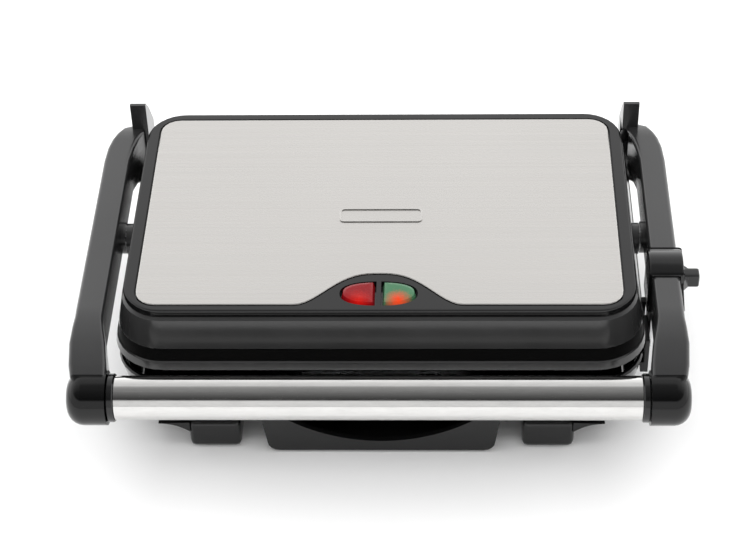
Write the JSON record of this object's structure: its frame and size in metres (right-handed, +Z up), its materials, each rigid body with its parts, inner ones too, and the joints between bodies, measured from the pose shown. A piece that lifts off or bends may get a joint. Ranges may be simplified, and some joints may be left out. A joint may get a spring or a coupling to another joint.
{
  "type": "panini press",
  "caption": "Contact grill with a floating ribbed lid on a rear hinge, arms joined by a tubular handle, a lock slider and a drip tray.",
  "frame": {"origin": "middle of the whole press across and from front to back, on the table under its feet", "axes": "+X to the right as seen from the handle, +Y from the handle towards the hinge, +Z up"},
  "size_m": [0.3228, 0.2254, 0.106],
  "materials": {
    "gloss_black": "glossy moulded black",
    "satin_black": "satin moulded black",
    "brushed_inlay": "stainless steel, brushed along its length",
    "nonstick": "cast aluminium with a dark non-stick coat",
    "steel": "plain zinc-plated or stainless steel",
    "rubber": "black rubber",
    "red_lens": "clear red lens",
    "green_lens": "clear green lens",
    "lamp_glass": "small glass lamp",
    "ceramic": "pale ceramic"
  },
  "bodies": {
    "base": {"base_housing": "gloss_black", "bottom_cover": "satin_black", "foot_front_left": "gloss_black", "foot_front_right": "gloss_black", "foot_rear_left": "gloss_black", "foot_rear_right": "gloss_black", "foot_pad_front_left": "rubber", "foot_pad_front_right": "rubber", "foot_pad_rear_left": "rubber", "foot_pad_rear_right": "rubber", "lower_plate": "nonstick", "lower_element": "steel", "lower_thermostat": "ceramic", "lower_reflector": "steel", "terminal_block": "ceramic", "cord_inlet": "rubber", "base_lead": "rubber", "hinge_bracket_left": "satin_black", "hinge_bracket_right": "satin_black", "lock_rack": "satin_black"},
    "tray": {"drip_tray": "gloss_black"},
    "arms": {"arm_left": "gloss_black", "arm_right": "gloss_black", "handle_tube": "brushed_inlay", "handle_rod": "steel", "handle_collar_left": "gloss_black", "handle_collar_right": "gloss_black", "hinge_pin_left": "steel", "hinge_pin_right": "steel", "float_pin_left": "steel", "float_pin_right": "steel", "arm_lead": "rubber"},
    "lid": {"upper_housing": "gloss_black", "top_panel": "gloss_black", "inlay_panel": "brushed_inlay", "emblem_frame": "brushed_inlay", "lens_red": "red_lens", "lens_green": "green_lens", "lamp_red": "lamp_glass", "lamp_green": "lamp_glass", "upper_plate": "nonstick", "upper_element": "steel", "upper_thermostat": "ceramic", "upper_reflector": "steel", "lead_conduit": "satin_black"},
    "slider": {"lock_slider": "gloss_black", "lock_hook": "steel"}
  },
  "joints": [
    {"name": "lid_hinge", "type": "hinge", "parent": "base", "child": "arms", "pos_m": [0, 0.1042, 0.053], "axis": [-1, 0, 0], "range_deg": [0, 180]},
    {"name": "lid_float", "type": "hinge", "parent": "arms", "child": "lid", "pos_m": [0, 0.0162, 0.072], "axis": [1, 0, 0], "range_deg": [0, 4]},
    {"name": "tray_slide", "type": "slide", "parent": "base", "child": "tray", "axis": [0, -1, 0], "range_m": [0, 0.115]},
    {"name": "lock_slide", "type": "slide", "parent": "arms", "child": "slider", "axis": [0, -1, 0], "range_m": [0, 0.016]}
  ],
  "couplings": [
    {"joint": "lid_float", "follows": "lid_hinge", "ratio": 0.022222}
  ]
}
